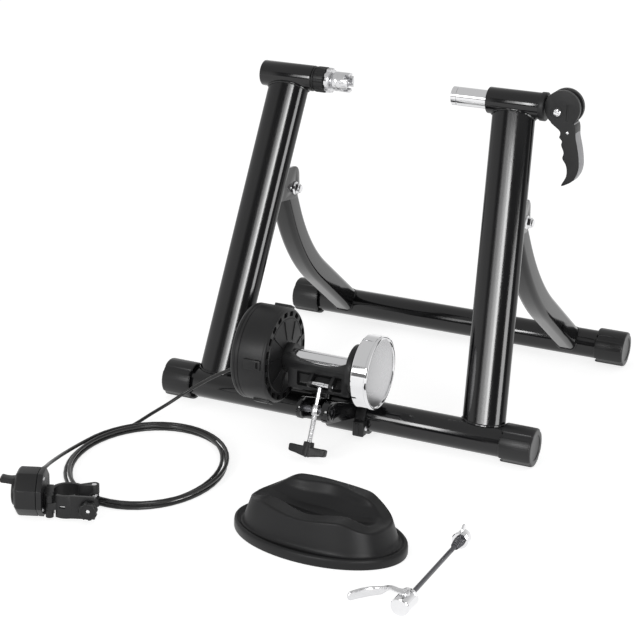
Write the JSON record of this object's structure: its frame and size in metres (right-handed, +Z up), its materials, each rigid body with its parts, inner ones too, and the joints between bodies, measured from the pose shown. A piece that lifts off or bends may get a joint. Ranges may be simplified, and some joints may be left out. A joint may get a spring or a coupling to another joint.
{
  "type": "bicycle turbo trainer",
  "caption": "Folding steel bicycle trainer stand with roller, flywheel and magnetic drum, handlebar remote on a coiled cable, front wheel block and skewer.",
  "frame": {"origin": "on the floor, under the middle of the box round the stand, the wheel block, the remote and the skewer as they lie", "axes": "+X along the bars towards the lever side, +Y from the resistance unit towards the rear bar, +Z up"},
  "size_m": [0.5049, 0.8218, 0.4207],
  "materials": {
    "black_paint": "gloss black powder coat",
    "black_plastic": "satin black moulding",
    "cable_sheath": "smooth black sheath",
    "chrome": "bright plated",
    "satin_steel": "satin plated",
    "dark_steel": "dark oiled",
    "aluminium": "turned"
  },
  "bodies": {
    "stand": {"front_bar": "black_paint", "front_left_cap": "black_plastic", "front_right_cap": "black_plastic", "left_upright": "black_paint", "right_upright": "black_paint", "left_axle_tube": "black_paint", "right_axle_tube": "black_paint", "left_pivot_bracket": "black_paint", "right_pivot_bracket": "black_paint", "left_fold_bolt": "chrome", "right_fold_bolt": "chrome", "left_fold_nut": "chrome", "right_fold_nut": "chrome", "tube_collar": "black_plastic", "clamp_spring": "dark_steel", "unit_bracket": "black_paint", "unit_pivot_bolt": "dark_steel", "bracket_strap": "black_plastic", "remote_case": "black_plastic", "remote_back": "black_plastic", "clamp_base": "black_plastic", "cable_lead": "cable_sheath", "cable_coil": "cable_sheath", "cable_tail": "cable_sheath"},
    "rear_frame": {"rear_bar": "black_paint", "rear_left_cap": "black_plastic", "rear_right_cap": "black_plastic", "left_rear_leg": "black_paint", "right_rear_leg": "black_paint"},
    "knob": {"adjuster_knob": "black_plastic"},
    "cup": {"crown_cup": "satin_steel"},
    "ring": {"lock_ring": "satin_steel"},
    "pin": {"clamp_pin": "chrome", "lever_pivot_screw": "chrome"},
    "quick_lever": {"cam_lever": "black_plastic"},
    "unit": {"cradle": "black_plastic", "inner_cover": "black_plastic", "outer_cover": "black_plastic", "left_bearing": "satin_steel", "right_bearing": "satin_steel", "tension_cross_pin": "chrome"},
    "roller_assembly": {"drive_shaft": "satin_steel", "roller": "chrome", "flywheel": "chrome", "rotor_disc": "aluminium"},
    "magnets": {"magnet_carrier": "black_plastic", "magnet_ring": "dark_steel"},
    "trunnion": {"trunnion_nut": "satin_steel"},
    "rod": {"tension_rod": "chrome"},
    "wing_knob": {"tension_knob": "black_plastic"},
    "remote_lever": {"shift_lever": "black_plastic"},
    "remote_arm": {"clamp_arm": "black_plastic"},
    "remote_bolt": {"clamp_bolt": "chrome"},
    "remote_nut": {"thumb_nut": "black_plastic"},
    "block": {"wheel_block": "black_plastic"},
    "skewer": {"skewer_rod": "dark_steel", "skewer_cam_body": "chrome", "skewer_spring": "dark_steel"},
    "skewer_handle": {"skewer_lever": "satin_steel"},
    "skewer_end": {"skewer_nut": "chrome"}
  },
  "joints": [
    {"name": "frame_fold", "type": "hinge", "parent": "stand", "child": "rear_frame", "pos_m": [-0.00465, 0.1386, 0.255], "axis": [-1, 0, 0], "range_deg": [0, 60]},
    {"name": "knob_turn", "type": "hinge", "parent": "stand", "child": "knob", "pos_m": [-0.11, 0.14547, 0.397], "axis": [1, 0, 0], "range_deg": [0, 2530]},
    {"name": "cup_slide", "type": "slide", "parent": "stand", "child": "cup", "axis": [1, 0, 0], "range_m": [0, 0.014]},
    {"name": "ring_turn", "type": "hinge", "parent": "cup", "child": "ring", "pos_m": [-0.099, 0.14547, 0.397], "axis": [1, 0, 0], "range_deg": [-180, 180]},
    {"name": "pin_slide", "type": "slide", "parent": "stand", "child": "pin", "axis": [1, 0, 0], "range_m": [0, 0.0146], "deforming": ["clamp_spring"]},
    {"name": "lever_swing", "type": "hinge", "parent": "pin", "child": "quick_lever", "pos_m": [0.19855, 0.14547, 0.3938], "axis": [0, -1, 0], "range_deg": [0, 110]},
    {"name": "unit_tilt", "type": "hinge", "parent": "stand", "child": "unit", "pos_m": [-0.00465, 0.00047, 0.068], "axis": [-1, 0, 0], "range_deg": [0, 10]},
    {"name": "roller_spin", "type": "hinge", "parent": "unit", "child": "roller_assembly", "pos_m": [-0.00465, -0.04953, 0.104], "axis": [1, 0, 0], "continuous": true},
    {"name": "magnet_turn", "type": "hinge", "parent": "unit", "child": "magnets", "pos_m": [-0.08865, -0.04953, 0.104], "axis": [1, 0, 0], "range_deg": [0, 60]},
    {"name": "trunnion_swing", "type": "hinge", "parent": "stand", "child": "trunnion", "pos_m": [-0.00165, -0.08453, 0.0578], "axis": [1, 0, 0], "range_deg": [0, 1.8]},
    {"name": "rod_slide", "type": "slide", "parent": "trunnion", "child": "rod", "axis": [0, 0.4098, 0.9122], "range_m": [0, 0.01305]},
    {"name": "wing_knob_turn", "type": "hinge", "parent": "rod", "child": "wing_knob", "pos_m": [-0.00165, -0.07213, 0.0854], "axis": [0, 0.4098, 0.9122], "range_deg": [0, 3740]},
    {"name": "remote_shift", "type": "hinge", "parent": "stand", "child": "remote_lever", "pos_m": [-0.21288, -0.37289, 0.025], "axis": [0.9272, 0.3746, 0], "range_deg": [0, 120]},
    {"name": "arm_close", "type": "hinge", "parent": "stand", "child": "remote_arm", "pos_m": [-0.18157, -0.37696, 0.016], "axis": [0, 0, 1], "range_deg": [0, 2.6]},
    {"name": "bolt_swing", "type": "hinge", "parent": "stand", "child": "remote_bolt", "pos_m": [-0.15341, -0.33053, 0.016], "axis": [0, 0, 1], "range_deg": [0, 75]},
    {"name": "thumb_nut_turn", "type": "hinge", "parent": "remote_bolt", "child": "remote_nut", "pos_m": [-0.15341, -0.33053, 0.016], "axis": [-0.3746, 0.9272, 0], "range_deg": [0, 1200]},
    {"name": "block_lift", "type": "slide", "parent": "stand", "child": "block", "axis": [0, 0, 1], "range_m": [0, 0.1]},
    {"name": "skewer_lift", "type": "slide", "parent": "stand", "child": "skewer", "axis": [0, 0, 1], "range_m": [0, 0.1]},
    {"name": "skewer_lever_turn", "type": "hinge", "parent": "skewer", "child": "skewer_handle", "pos_m": [0.23985, -0.39053, 0.01], "axis": [0, 0, 1], "range_deg": [0, 170]},
    {"name": "skewer_nut_turn", "type": "hinge", "parent": "skewer", "child": "skewer_end", "pos_m": [0.23985, -0.2295, 0.01], "axis": [0, 1, 0], "continuous": true}
  ],
  "couplings": [
    {"joint": "knob_turn", "follows": "cup_slide", "rad_per_m": 3141.6},
    {"joint": "pin_slide", "follows": "lever_swing", "m_per_rad": 0.0076},
    {"joint": "wing_knob_turn", "follows": "unit_tilt", "ratio": 373.51},
    {"joint": "rod_slide", "follows": "unit_tilt", "m_per_rad": 0.074307},
    {"joint": "trunnion_swing", "follows": "unit_tilt", "ratio": 0.17406},
    {"joint": "magnet_turn", "follows": "remote_shift", "ratio": 0.5},
    {"joint": "arm_close", "follows": "thumb_nut_turn", "ratio": 0.0021}
  ]
}
